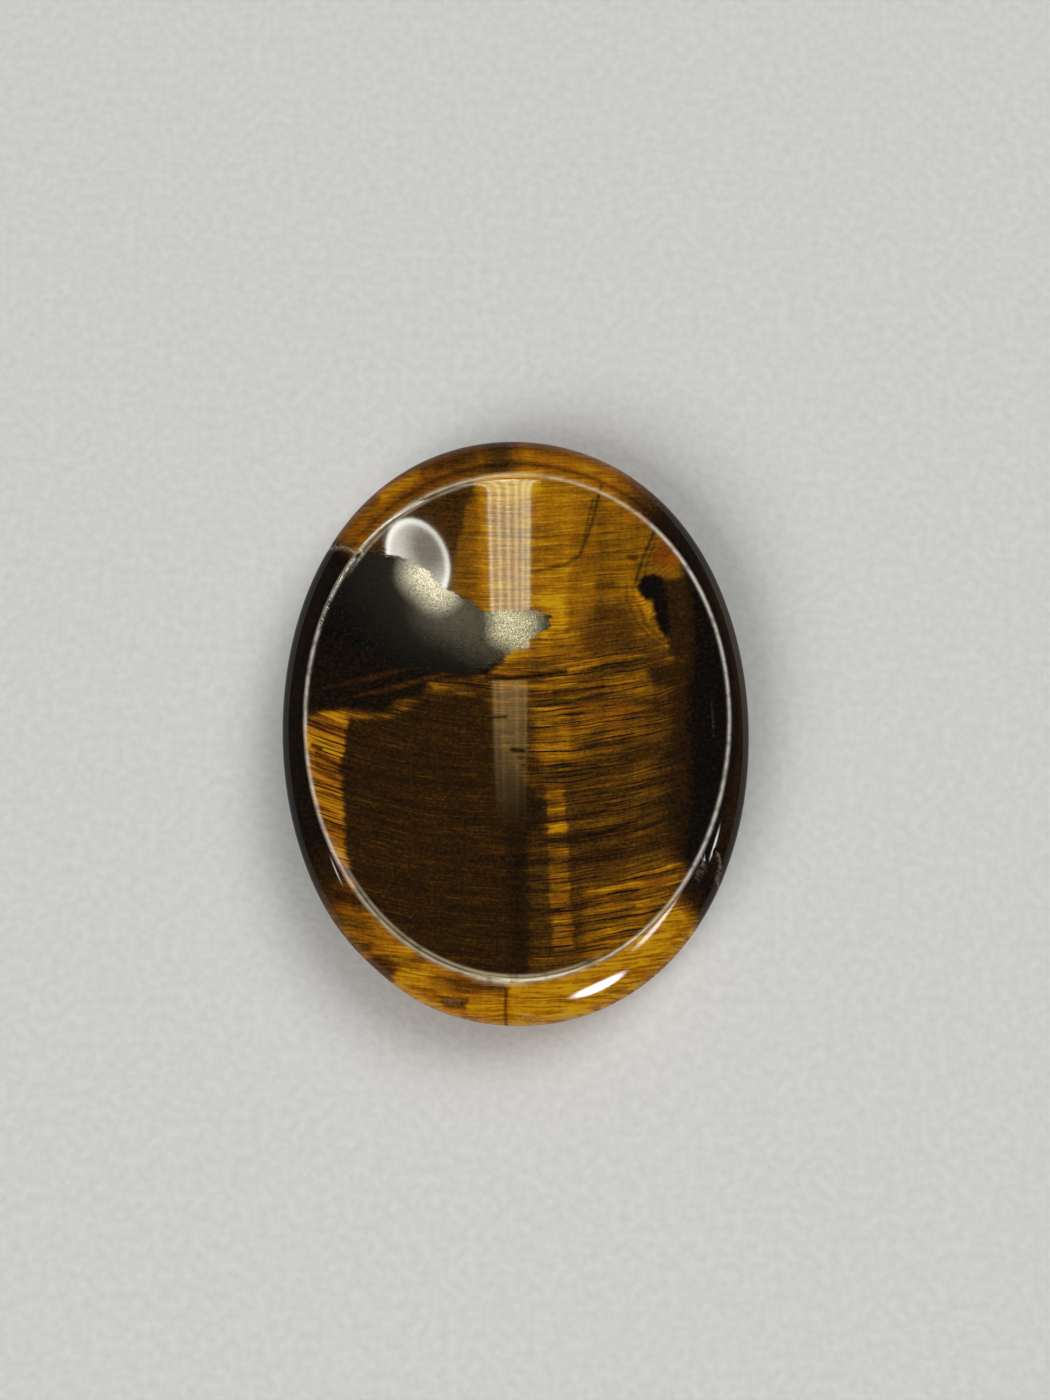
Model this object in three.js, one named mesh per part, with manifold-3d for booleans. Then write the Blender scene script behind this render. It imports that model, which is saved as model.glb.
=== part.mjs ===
// A polished tigers eye worry stone: one oval pebble with a thumb hollow ground into its top.
// Millimetres, +Z up. The stone lies on its flat back, its length along Y, the origin under its middle.
import * as THREE from "three";
import { mergeVertices } from "three/addons/utils/BufferGeometryUtils.js";
import Module from "manifold-3d";

// The oval blank
const LENGTH = 45;
const WIDTH = 35;
const THICKNESS = 7.06; // before the hollow is ground, which leaves a lip 7 mm high
const EDGE_ROUND = 5; // how far in from the outline the rounded edge reaches, on both faces
const EDGE_HEIGHT = 4.8; // where the edge is widest, above the flat back
const WAIST = 0.2; // straight band between the upper and the lower rounding

// How the hand-cut outline departs from an ellipse, as shares of its radius
const SQUARENESS = 0.018; // bulge on all four diagonals
const SKEW = 0.006; // one pair of diagonals longer than the other
const FLAT_DEPTH = 0.006; // a small flat ground on the edge
const FLAT_ANGLE = THREE.MathUtils.degToRad(234);
const FLAT_SPREAD = THREE.MathUtils.degToRad(9);

// The thumb hollow, an elliptical bowl measured where it would meet an uncut flat top
const HOLLOW_LENGTH = 39.6;
const HOLLOW_WIDTH = 36.4;
const HOLLOW_DEPTH = 2.26;
const HOLLOW_CENTRE_X = 0.34;
const HOLLOW_CENTRE_Y = -0.09;
const HOLLOW_TAPER = 0.005; // share by which each millimetre towards +Y makes it wider
const HOLLOW_OVERSHOOT = 1.25; // the cutting bowl is wider than the hollow by this factor
const CUTTER_HEADROOM = 2; // how far the cutting bowl reaches above its own edge

// Facets
const OUTLINE_SEGMENTS = 90;
const EDGE_SEGMENTS = 7;
const HOLLOW_RINGS = 14;

const TIGERS_EYE = { color: 0x7a4a12, roughness: 0.12, metalness: 0 };

/** The blank's outline seen from above, anticlockwise from +X. */
class PebbleOutline extends THREE.Curve {
  getPoint(t, target = new THREE.Vector2()) {
    const angle = 2 * Math.PI * t;
    const fromFlat = (angle - FLAT_ANGLE) / FLAT_SPREAD;
    const radius =
      1 +
      (SQUARENESS * (1 - Math.cos(4 * angle))) / 2 -
      SKEW * Math.sin(2 * angle) -
      FLAT_DEPTH * Math.exp(-fromFlat * fromFlat);
    return target.set(
      (WIDTH / 2) * radius * Math.cos(angle),
      (LENGTH / 2) * radius * Math.sin(angle),
    );
  }
}

/** Lifts the widest line of the edge from half the thickness. */
function liftEdge(geometry) {
  const middle = THICKNESS / 2;
  const position = geometry.getAttribute("position");
  for (let i = 0; i < position.count; i++) {
    const rise = position.getZ(i) / middle - 1;
    const reach = rise < 0 ? EDGE_HEIGHT : THICKNESS - EDGE_HEIGHT;
    position.setZ(i, EDGE_HEIGHT + rise * reach);
  }
  return geometry;
}

/** The oval pebble before the hollow is ground: flat above and below, with a full round edge. */
function pebbleGeometry() {
  const points = new PebbleOutline().getPoints(OUTLINE_SEGMENTS).slice(0, -1);
  const rounding = (THICKNESS - WAIST) / 2;
  const pebble = new THREE.ExtrudeGeometry(new THREE.Shape(points), {
    depth: WAIST,
    bevelEnabled: true,
    bevelThickness: rounding,
    bevelSize: EDGE_ROUND,
    bevelOffset: -EDGE_ROUND,
    bevelSegments: EDGE_SEGMENTS,
  });
  return liftEdge(pebble.translate(0, 0, rounding));
}

/** Makes the hollow wider towards +Y and narrower towards -Y. */
function taperHollow(geometry) {
  const position = geometry.getAttribute("position");
  for (let i = 0; i < position.count; i++) {
    position.setX(i, position.getX(i) * (1 + HOLLOW_TAPER * position.getY(i)));
  }
  return geometry;
}

/** The space that the grinding bowl takes away: a paraboloid below, closed by a flat lid above. */
function hollowGeometry() {
  const profile = [];
  for (let ring = 0; ring <= HOLLOW_RINGS; ring++) {
    const radius = (HOLLOW_OVERSHOOT * ring) / HOLLOW_RINGS;
    const height = THICKNESS - HOLLOW_DEPTH * (1 - radius * radius);
    profile.push(new THREE.Vector2(radius, height));
  }
  profile.push(new THREE.Vector2(0, profile.at(-1).y + CUTTER_HEADROOM));
  const bowl = new THREE.LatheGeometry(profile, OUTLINE_SEGMENTS)
    .rotateX(Math.PI / 2)
    .scale(HOLLOW_WIDTH / 2, HOLLOW_LENGTH / 2, 1);
  return taperHollow(bowl).translate(HOLLOW_CENTRE_X, HOLLOW_CENTRE_Y, 0);
}

const wasm = await Module();
wasm.setup();

/** A closed surface as a solid that another solid can be cut from. */
function toSolid(geometry) {
  const bare = geometry.clone();
  bare.deleteAttribute("normal");
  bare.deleteAttribute("uv");
  const merged = mergeVertices(bare);
  return new wasm.Manifold(
    new wasm.Mesh({
      numProp: 3,
      vertProperties: merged.getAttribute("position").array,
      triVerts: new Uint32Array(merged.index.array),
    }),
  );
}

/** The surface of a solid. */
function toGeometry(solid) {
  const mesh = solid.getMesh();
  const geometry = new THREE.BufferGeometry();
  geometry.setAttribute(
    "position",
    new THREE.BufferAttribute(mesh.vertProperties, mesh.numProp),
  );
  geometry.setIndex(new THREE.BufferAttribute(mesh.triVerts, 1));
  geometry.computeVertexNormals();
  return geometry;
}

const stone = new THREE.Mesh(
  toGeometry(toSolid(pebbleGeometry()).subtract(toSolid(hollowGeometry()))),
  new THREE.MeshStandardMaterial(TIGERS_EYE),
);
stone.name = "stone";

const worryStone = new THREE.Group();
worryStone.add(stone);

export default worryStone;
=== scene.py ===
import math
from functools import partial

import bpy
import numpy as np
from bpy.props import FloatProperty, FloatVectorProperty, IntProperty, PointerProperty
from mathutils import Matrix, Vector


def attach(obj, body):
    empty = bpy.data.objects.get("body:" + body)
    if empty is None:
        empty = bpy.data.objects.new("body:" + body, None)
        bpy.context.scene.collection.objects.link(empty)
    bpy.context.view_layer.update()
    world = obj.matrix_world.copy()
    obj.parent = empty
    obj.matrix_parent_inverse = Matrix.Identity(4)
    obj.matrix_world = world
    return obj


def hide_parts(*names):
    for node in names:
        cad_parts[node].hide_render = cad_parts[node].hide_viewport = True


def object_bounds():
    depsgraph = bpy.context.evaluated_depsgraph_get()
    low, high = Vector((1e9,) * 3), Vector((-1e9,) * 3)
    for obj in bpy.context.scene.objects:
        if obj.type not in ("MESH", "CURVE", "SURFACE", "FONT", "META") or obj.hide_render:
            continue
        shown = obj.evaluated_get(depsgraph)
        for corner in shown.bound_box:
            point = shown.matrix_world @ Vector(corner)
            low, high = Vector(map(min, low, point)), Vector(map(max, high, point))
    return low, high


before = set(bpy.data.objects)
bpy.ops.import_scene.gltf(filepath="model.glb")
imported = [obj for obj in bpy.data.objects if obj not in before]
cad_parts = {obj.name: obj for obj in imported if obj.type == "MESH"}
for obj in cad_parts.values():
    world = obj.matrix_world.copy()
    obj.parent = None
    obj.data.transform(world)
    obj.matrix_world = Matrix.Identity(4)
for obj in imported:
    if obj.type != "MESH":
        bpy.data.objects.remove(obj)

bl_info = {
    "name": "Tigers Eye Worry Stone",
    "version": (1, 0, 0),
    "blender": (4, 5, 0),
    "location": "3D View > Sidebar > Worry Stone",
    "description": "Makes a polished tigers eye worry stone and a small studio to look at it in",
    "category": "Add Mesh",
}

CAD_LOW, CAD_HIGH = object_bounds()
CAD_SIZE = CAD_HIGH - CAD_LOW
MM = 0.001

# Where the photograph was taken from, in its own pixels and in degrees
PHOTO_SIZE = (1050, 1400)
STONE_CENTRE_PIXEL = (515.7, 730.2)
PIXELS_PER_MM = 13.23
CAMERA_ELEVATION = 76
CAMERA_DISTANCE = 0.2  # metres
CAMERA_NEAR = 0.01  # metres

# The photograph's pixel from which the places of all marks were measured, and the pixels taken for 1 mm
MEASURED_FROM_PIXEL = (516, 734)
MEASURED_PIXELS_PER_MM = 13.31

# Patches of colour in the hollow, painted in this order. Each has a tone from 0, black, to 1, yellow gold,
# a share of red, the width of its soft edge, and its outline. Sizes are millimetres, +Y up the photograph.
HOLLOW_PATCHES = (
    ("upper gold", 0.62, 0.0, 1.2, (
        (-4.3, 20.5), (-4.2, 16.0), (-4.7, 13.0), (-5.0, 10.5), (-2.5, 8.8), (-2.0, 4.8), (-3.0, 4.0),
        (-1.0, 3.2), (4.0, 4.0), (8.0, 5.2), (12.0, 5.5), (12.4, 12.0), (12.2, 14.0), (8.5, 18.0),
        (0.0, 21.0))),
    ("bright gold", 0.78, 0.0, 1.6, (
        (-4.0, 19.0), (4.4, 19.6), (4.4, 13.0), (3.5, 10.0), (3.0, 6.0), (-1.8, 4.6), (-2.4, 9.4),
        (-4.2, 11.5))),
    ("old gold beside the lamp", 0.56, 0.0, 0.8, ((-4.8, 18.6), (-2.9, 19.0), (-2.9, 10.2), (-5.2, 10.8))),
    ("yellow spot", 1.0, 0.0, 1.0, (
        (1.2, 10.3), (3.4, 10.3), (3.9, 8.4), (3.2, 7.3), (2.2, 7.6), (2.9, 8.7))),
    ("brown eddy", 0.36, 0.1, 1.6, (
        (4.5, 7.6), (6.2, 9.6), (8.2, 9.6), (9.2, 7.4), (12.0, 5.2), (8.0, 5.4), (5.0, 6.0))),
    ("middle gold", 0.45, 0.1, 1.6, (
        (1.5, 3.8), (4.0, 3.7), (12.0, 4.6), (12.6, -0.5), (8.0, -1.0), (2.0, -3.5), (1.2, -2.0))),
    ("gold below the wisps", 0.66, 0.0, 1.0, (
        (1.2, 1.8), (3.4, 1.8), (4.2, -1.6), (2.6, -2.8), (1.5, -1.8))),
    ("orange streak", 0.6, 0.3, 0.7, (
        (5.0, 0.2), (8.0, 0.8), (9.4, 1.5), (8.6, 2.0), (7.0, 1.6), (5.0, 0.9))),
    ("brown field", 0.18, 0.04, 0.7, (
        (-13.2, 0.2), (-9.0, 1.0), (-6.5, 2.8), (-2.4, 2.7), (-1.7, 1.0), (-1.1, -1.5), (0.1, -3.2),
        (0.8, -5.0), (0.8, -10.0), (0.9, -21.0), (-9.0, -18.0), (-12.9, -12.5), (-13.0, -6.0))),
    ("brown beside the stripe", 0.3, 0.0, 0.6, ((1.0, -4.0), (2.2, -4.0), (2.7, -19.5), (1.1, -19.5))),
    ("green shade", 0.14, 0.0, 1.0, ((-0.9, -3.6), (0.9, -4.2), (2.0, -5.8), (2.0, -8.0), (-0.9, -8.8))),
    ("dark foot", 0.11, 0.0, 1.2, ((-0.6, -8.0), (0.8, -8.0), (1.0, -20.5), (-0.6, -20.5))),
    ("dark sweep", 0.26, 0.1, 0.8, (
        (3.9, -9.3), (8.0, -8.6), (12.6, -7.4), (12.4, -9.6), (8.0, -10.6), (3.9, -10.8))),
    ("shining stripe", 0.6, 0.1, 0.3, (
        (2.3, -4.3), (3.6, -4.3), (3.9, -10.0), (4.3, -17.5), (2.8, -17.5), (2.4, -10.0))),
    ("lower right gold", 0.59, 0.1, 1.5, (
        (5.5, -12.5), (12.0, -10.8), (13.0, -12.0), (6.0, -18.8), (5.0, -17.0))),
    ("gold streak", 0.72, 0.1, 0.4, (
        (6.4, -12.9), (9.0, -11.9), (11.6, -10.7), (11.7, -11.0), (9.0, -12.3))),
    ("right fade", 0.12, 0.1, 2.2, ((11.6, 3.0), (13.4, 3.0), (13.4, -10.0), (12.0, -10.5), (11.0, -6.0))),
    ("green corner", 0.16, 0.0, 0.8, ((9.9, 4.6), (13.2, 5.0), (13.2, 2.8), (10.4, 3.2))),
    ("olive lines", 0.16, 0.0, 0.6, ((11.0, 11.2), (13.2, 11.5), (13.3, 5.0), (11.9, 4.9), (11.2, 7.5))),
    ("black band", 0.0, 0.0, 1.1, (
        (12.7, 12.6), (13.2, 9.0), (13.2, 5.0), (12.9, 2.0), (13.0, -3.0), (12.9, -8.0), (12.5, -10.6),
        (14.5, -12.5), (18.0, -5.0), (18.0, 13.0))),
    ("gap", 0.0, 0.0, 0.4, (
        (9.1, 10.7), (9.5, 11.5), (10.3, 11.7), (11.1, 11.4), (11.4, 9.5), (11.6, 7.5), (11.2, 6.9),
        (10.6, 8.0), (10.3, 9.8), (9.7, 9.8))),
    ("gold sliver", 0.86, 0.0, 0.3, (
        (8.9, 10.6), (9.3, 10.2), (9.8, 9.7), (10.3, 9.5), (10.3, 8.6), (10.0, 8.1), (9.5, 9.2),
        (9.0, 10.0))),
    ("red patch", 0.52, 0.5, 0.4, (
        (10.4, 13.5), (11.3, 14.4), (12.2, 13.3), (12.3, 12.3), (11.1, 12.1), (10.3, 12.4))),
    ("gold arm", 0.5, 0.1, 0.35, (
        (-13.5, 1.1), (-11.0, 1.05), (-9.6, 1.0), (-8.3, 1.9), (-7.9, 1.75), (-9.4, 0.6), (-11.0, 0.65),
        (-13.5, 0.5))),
    ("left stripe", 0.82, 0.3, 0.5, (
        (-16.2, 0.0), (-14.6, 1.0), (-13.0, 1.0), (-12.6, 0.4), (-13.2, -3.0), (-13.0, -7.0),
        (-12.8, -10.0), (-12.0, -13.0), (-14.5, -11.5), (-16.8, -4.0))),
    ("brown above the iron", 0.27, 0.05, 0.5, (
        (-12.2, 13.7), (-10.0, 16.4), (-7.5, 18.2), (-5.0, 19.4), (-3.0, 19.8), (-3.3, 17.6),
        (-4.0, 16.2), (-4.2, 14.5), (-4.6, 13.0), (-5.0, 10.8), (-8.5, 12.4))),
    ("black wisps", 0.035, 0.0, 0.6, (
        (-16.5, 13.4), (-11.2, 13.4), (-5.0, 10.4), (-2.4, 8.8), (-1.0, 5.4), (-2.2, 4.2), (-6.4, 3.8),
        (-7.2, 2.5), (-9.0, 2.2), (-10.0, 1.2), (-13.0, 1.4), (-15.6, 0.9), (-17.0, 4.0))),
    ("upper wisp", 0.2, 0.1, 0.4, ((-14.8, 2.8), (-10.5, 4.1), (-6.1, 5.6), (-6.0, 5.2), (-10.4, 3.7))),
    ("lower wisp", 0.24, 0.2, 0.35, ((-13.4, 2.0), (-9.5, 3.2), (-5.0, 4.6), (-4.8, 4.2), (-9.4, 2.8))),
    # A painted highlight: the bright top of the mirrored lamp's reflection, laid into the colour as yellow
    ("yellow head", 1.0, 0.0, 0.6, ((-2.3, 19.6), (2.1, 19.6), (1.7, 17.6), (-1.9, 17.6))),
    ("gold filament", 0.62, 0.1, 0.2, (
        (-6.5, 3.6), (-5.0, 3.5), (-3.0, 3.1), (-1.0, 3.3), (-1.0, 2.9), (-3.0, 2.75), (-5.2, 2.95),
        (-6.1, 3.0))),
)

# The same on the rounded edge
EDGE_PATCHES = (
    # A painted glow: bright orange light along the lower left of the edge
    ("painted orange glow", 1.0, 0.35, 0.7, (
        (-9.6, -18.9), (-8.6, -19.0), (-7.2, -20.9), (-5.0, -22.2), (-0.8, -23.0), (-0.8, -23.8),
        (-5.5, -23.2), (-8.3, -21.4))),
    ("shade under the lip", 0.35, 0.2, 0.8, ((-6.5, -19.4), (-0.6, -20.0), (-0.6, -20.9), (-4.5, -20.6))),
    ("foot smudge", 0.22, 0.1, 0.5, (
        (-6.2, -20.9), (-4.8, -21.2), (-3.6, -21.3), (-3.9, -21.9), (-5.4, -21.6))),
    ("strip beside the seam", 0.95, 0.1, 0.4, ((0.2, -21.0), (1.6, -20.5), (1.6, -22.0), (0.2, -21.9))),
    ("top smudge", 0.26, 0.2, 0.8, ((-6.4, 20.4), (-3.2, 21.2), (-3.0, 20.4), (-6.0, 19.6))),
    # A painted highlight: a bright orange patch on the upper left of the edge
    ("painted orange highlight", 0.92, 0.2, 0.8, ((-10.4, 18.2), (-7.4, 19.8), (-7.2, 18.9), (-10.0, 17.2))),
    ("left smudge", 0.35, 0.0, 0.6, ((-13.2, -16.6), (-10.8, -17.0), (-10.9, -17.5), (-12.6, -17.4))),
    ("dark notch", 0.28, 0.1, 0.8, (
        (-11.2, -17.9), (-9.4, -18.4), (-8.8, -19.0), (-9.9, -20.0), (-11.0, -19.2))),
)

# Tone and share of red where no patch lies
GROUND_TONE = 0.33
GROUND_RED = 0.05

# The iron oxide patch in the upper left of the hollow
IRON_OUTLINE = (
    (-14.5, 12.6), (-11.0, 13.4), (-10.0, 13.3), (-8.5, 12.9), (-7.0, 12.2), (-5.0, 10.7), (-3.6, 9.9),
    (-2.5, 9.0), (0.3, 9.1), (1.6, 9.1), (2.7, 8.6), (2.4, 7.6), (1.0, 6.9), (0.2, 6.2), (-1.2, 5.2),
    (-2.8, 4.4), (-6.5, 4.3), (-9.0, 4.6), (-12.0, 6.0), (-16.0, 7.5))

# Painted sheen on the iron along lines: how much, how far each side it fades, and their points, in
# millimetres
IRON_SHEEN_LINES = (
    (1.0, 2.8, ((-6.9, 11.8), (-5.8, 10.6))),
    (1.0, 2.2, ((-0.8, 8.7), (0.6, 8.2), (-0.8, 7.6), (0.6, 7.0))),
    (0.13, 4.2, ((-5.6, 9.0), (-2.0, 7.2))),
)
IRON_LEAST_SHEEN = 0.022  # away from those lines
IRON_RELIEF = 1.2  # share by which its grain stands out more
IRON_RIM_LOSS_MM = 3.0  # how far its edge draws back on the rim

# Tones round the rim: degrees anticlockwise from +X, tone, share of red
RIM_STOPS = (
    (0, 0.03, 0.5), (38, 0.03, 0.3), (48, 0.08, 0.1), (58, 0.56, 0.2), (66, 0.84, 0.2), (88, 0.77, 0.3),
    (91, 0.54, 0.2), (93, 0.34, 0.0), (96, 0.37, 0.0), (100, 0.5, 0.3), (112, 0.53, 0.25),
    (128, 0.59, 0.25), (139, 0.64, 0.3), (143, 0.03, 0.0), (204, 0.03, 0.0), (214, 0.16, 0.2),
    (221, 0.46, 0.2), (240, 0.75, 0.2), (262, 0.88, 0.2), (300, 0.93, 0.1), (317, 0.76, 0.1),
    (321, 0.14, 0.0), (325, 0.04, 0.0), (340, 0.03, 0.3), (360, 0.03, 0.5))

# Shading on the rim, with distances in millimetres from the lip outwards
RIM_START_MM = (0.0, 0.3)  # where the hollow's colours give way to the rim's
SHADE_LINE_MM = (0.95, 0.3)  # a dark line along the upper rim, and how wide it is to each side
SHADE_LINE = 0.6
OUTER_SHADE_MM = (1.8, 3.4)
OUTER_SHADE = 0.38
BLUSH_TONE = 0.06  # a faint light on the rim's right side
BLUSH_SPREAD = (0.8, 0.95)  # as cosines of the angle from +X
BLUSH_DEPTH_MM = (0.8, 1.3)
GILT_TONES = (0.2, 0.6)  # rim tones between which the painted lip highlight turns from pale to golden

# Dark lines: half width, depth of tone, and the points they run through, in millimetres
DARK_LINES = (
    (0.2, 0.9, ((-2.2, 4.0), (-0.5, 3.95), (1.0, 4.1), (3.7, 4.45))),
    (0.13, 0.62, ((2.8, 2.85), (5.0, 3.1), (6.6, 3.25))),
    (0.13, 0.45, ((6.4, 18.4), (5.7, 15.6), (4.8, 13.2), (3.6, 12.5), (1.2, 12.0))),
    (0.13, 0.32, ((5.8, 17.4), (5.1, 14.4))),
    (0.13, 0.51, ((9.0, 11.2), (9.4, 12.6), (10.0, 14.0), (10.6, 15.4))),
    (0.13, 0.28, ((9.6, 11.5), (9.9, 12.8), (10.4, 14.0))),
    (0.13, 0.27, ((8.3, 11.0), (8.35, 9.8), (9.1, 8.0), (10.3, 6.7), (11.7, 5.7))),
    (0.13, 0.25, ((9.2, 9.6), (9.7, 8.0), (10.6, 7.0), (11.8, 6.2))),
    (0.4, 0.45, ((6.3, 11.0), (7.2, 11.0))),
    (0.25, 0.6, ((8.6, 13.05), (8.9, 12.9))),
    (0.13, 0.27, ((2.9, 8.7), (4.2, 8.9))),
    (0.13, 0.27, ((2.5, 7.2), (4.0, 7.5))),
    (0.13, 0.62, ((-15.0, -2.2), (-13.3, -3.1), (-12.4, -3.4))),
    (0.13, 0.9, ((-15.3, -1.6), (-14.6, -1.9))),
    (0.13, 0.43, ((-14.9, -3.1), (-13.6, -4.1))),
    (0.13, 0.43, ((-14.6, -5.0), (-12.6, -5.9))),
    (0.13, 0.37, ((-14.9, -7.2), (-13.2, -7.9))),
    (0.18, 0.85, ((-0.3, -1.55), (0.6, -1.65))),
    (0.13, 0.6, ((0.1, -2.15), (1.7, -2.4))),
    (0.13, 0.6, ((0.4, -2.75), (1.9, -2.95))),
    (0.15, 0.7, ((-1.9, 0.95), (-0.7, 1.0))),
    (0.13, 0.4, ((-1.2, -0.2), (-0.2, -0.25))),
    (0.13, 0.43, ((0.7, -2.9), (1.6, -3.2))),
    (0.13, 0.48, ((0.9, -5.9), (1.9, -6.1), (2.4, -6.9))),
    (0.13, 0.43, ((2.2, -6.9), (4.5, -6.85), (6.0, -6.6), (7.4, -6.0))),
    (0.13, 0.49, ((2.2, -8.75), (4.5, -8.75), (6.5, -8.2), (8.5, -7.4))),
    (0.13, 0.37, ((2.4, -10.1), (5.0, -10.2), (8.0, -9.6))),
    (0.13, 0.43, ((4.4, -14.1), (6.5, -13.8), (9.0, -12.9))),
    (0.13, 0.62, ((8.3, -14.25), (8.9, -14.1))),
    (0.4, 0.6, ((-13.4, -13.2), (-12.6, -13.5), (-10.8, -13.8))),
    (0.3, 0.5, ((-10.6, -17.9), (-9.0, -18.5), (-7.6, -18.4), (-5.6, -18.0))),
    (0.13, 0.6, ((-0.75, -20.6), (-0.8, -22.0), (-0.7, -23.8))),
)

# Marks cut into the polish: half width, depth, share of pale edge, and the points along them, in millimetres
SCARS = (
    ("left notch", 0.16, 0.14, 0.7, ((-12.0, 13.2), (-12.7, 13.6), (-13.3, 13.9), (-14.6, 14.0))),
    ("foot pit", 0.16, 0.1, 0.15, ((-5.2, -21.3), (-4.6, -21.35), (-4.2, -21.4))),
    ("foot scratch", 0.12, 0.02, 0.3, ((0.3, -22.3), (1.0, -22.6), (2.1, -22.9))),
    ("foot scrape", 0.12, 0.02, 0.3, ((3.4, -22.0), (3.8, -22.4), (5.0, -22.4), (6.0, -22.2))),
    ("right chip", 0.12, 0.06, 0.4, ((13.9, -10.0), (14.1, -10.9), (13.6, -11.9))),
    ("right zigzag", 0.1, 0.05, 0.5, ((15.2, -10.0), (15.4, -11.0), (15.1, -11.8), (15.4, -12.6))),
    ("scratch", 0.06, 0.01, 0.1, ((14.7, 1.8), (14.85, -0.9))),
)

# How far up a surface has to face to be marked: the upward part of its normal
SCAR_SLOPES = (0.05, 0.2)

# The fibres: how they bow, the knot that they wrap round, and how far each thread runs past a patch's edge
FIBRE_BOW_PER_MM = 0.011
BOW_LOSS = 0.6  # share of the bow that is lost over these heights
BOW_LOSS_MM = (2.0, 14.0)
KNOT_CENTRE_MM = (12.8, 10.2)
KNOT_HOLE_MM = (0.8, 1.8)
KNOT_REACH_MM = (1.8, 3.3)
FEATHER_REACH_MM = 0.15
FEATHER_THREAD_MM = 0.2
FEATHER_THREADS = 512
FEATHER_SEED = 3

# Patterns drawn out along the fibres: sizes in millimetres along them, across them and through the stone,
# and detail. Real fibres are thousandths of a millimetre thick, too fine to show, so they are drawn coarser.
THREADS = ((2.6, 0.14, 0.8), 2.0)
DASHES = ((6.0, 0.18, 1.6), 1.0)
STREAKS = ((8.0, 0.8, 2.5), 3.0)
TINTS = ((3.5, 0.7, 1.8), 2.0)
BANDS = ((1.1, 18.0, 4.0), 2.0)
RAGGED = ((1.2, 0.35, 0.9), 5.0)

# Patterns that don't follow the fibres, in the same way
SWAY = ((5.0, 5.0, 5.0), 2.0)
GRAIN = ((0.24, 0.24, 0.24), 2.0)
SPECKS = ((0.16, 0.16, 0.16), 1.0)
# The noise below breaks up the painted highlight along the lip
LIP_GLARE_NOISE = ((0.8, 0.8, 0.8), 3.0)

# How strongly the patterns show
PATTERN_ROUGHNESS = 0.55
SWAY_REACH_MM = 0.6
RAGGED_REACH_MM = 1.6
THREAD_CONTRAST = 1.7
BAND_CONTRAST = 0.5
GRAIN_CONTRAST = 0.42
RUST_CONTRAST = 1.0
RUST_START = 0.48
RUST_BRIGHTNESS = 1.4

# Ranges: two values of what is read, and the two that they become
BACK_BY_HEIGHT_MM = (0.1, 1.0, 1.0, 0.0)
LINES_BY_FIBRE_MM = (7.0, 3.5, 0.2, 1.0)
LINES_BY_RIM = (0.0, 1.0, 1.0, 0.3)
DASH_DARKNESS = (0.43, 0.36, 0.0, 0.75)
DASH_BY_TONE = (0.15, 0.45, 0.3, 1.0)
STREAK_LIGHTNESS = (0.3, 0.7, 0.4, 1.55)
STREAK_BY_TONE = (0.2, 0.45, 0.4, 1.0)
THREADS_BY_FIBRE_MM = (9.0, 4.0, 0.8, 1.0)
FLECK_LIGHTNESS = (0.6, 0.75, 0.0, 0.25)
FLECK_BY_TONE = (0.05, 0.4, 0.0, 1.0)
RUST_BY_TONE = (0.15, 0.35, 0.4, 1.0)
IRON_BY_DEPTH_MM = (-0.15, 0.15, 0.0, 1.0)
IRON_LIGHTNESS = (0.3, 0.7, 0.32, 0.97)
BROKEN_BY_GRAIN = (0.35, 0.6, 0.0, 1.0)
LIP_GLARE_LIGHTNESS = (0.34, 0.52, 0.5, 1.0)
STONE_ROUGHNESS = (0.3, 0.7, 0.18, 0.29)
COAT_BY_IRON = (0.0, 1.0, 1.0, 0.0)
COAT_BY_DARK_LINE = (0.2, 0.7, 1.0, 0.0)
PAPER_LIGHTNESS = (0.3, 0.7, 0.91, 1.0)

# Painted highlights along the lip: how far outside it, width, and how strong they are round the stone, in
# degrees
LIP_SHINE_LINES = (
    (0.0, 0.24, (
        (0, 0.8), (12, 0.85), (22, 1.0), (38, 1.0), (50, 0.75), (90, 0.7), (130, 0.75), (150, 0.85),
        (205, 0.75), (225, 0.7), (250, 0.8), (260, 1.0), (280, 1.0), (288, 0.75), (320, 0.85),
        (340, 0.9), (360, 0.8))),
    (0.1, 0.36, ((257, 0.0), (260, 1.0), (271, 1.0), (275, 0.0))),
    (-0.34, 0.2, (
        (96, 0.0), (110, 0.45), (136, 0.45), (146, 0.0), (206, 0.0), (226, 0.5), (284, 0.5), (298, 0.0))),
)

# How the stone's points are spaced, how short the soft ends of its lip are, and how its parts are joined
TOP_CROWDING = 0.35
SIDE_CROWDING = 1.6
END_NARROWNESS = 12
NEAR_FACE = 0.999  # share of the cube's half size beyond which a point lies on a face
BORDER_FACES = 1.5  # an edge with fewer faces than this is a border
WELD_DISTANCE = 0.001 * MM

# What is measured at each point of the stone for its material
MARKS = ("tone", "red", "iron", "fibre", "dark", "pale", "wear", "rim", "sheen", "polish", "gilt")

# The quartz and its polish, and how much of that the edge has lost over this distance from the lip
BACK_TONE = 0.5
QUARTZ_IOR = 1.54
POLISH_ROUGHNESS = 0.03
SILK_STRENGTH = 0.3
SILK_DEPTH = 0.01 * MM
EDGE_MATTNESS = 0.6
EDGE_MATT_MM = (1.2, 3.0)

# The sheet of paper
PAPER_TOOTH = 0.7 * MM
PAPER_TOOTH_DEPTH = 0.12 * MM
PAPER_TOOTH_STRENGTH = 0.5
PAPER_ROUGHNESS = 0.9
PAPER_SPECULAR = 0.2

# The room: its tint, and how far up it turns from the horizon's brightness to the zenith's
ROOM_TINT = (1.0, 1.0, 0.98, 1.0)
ROOM_HEIGHTS = (0.05, 0.75)

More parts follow.
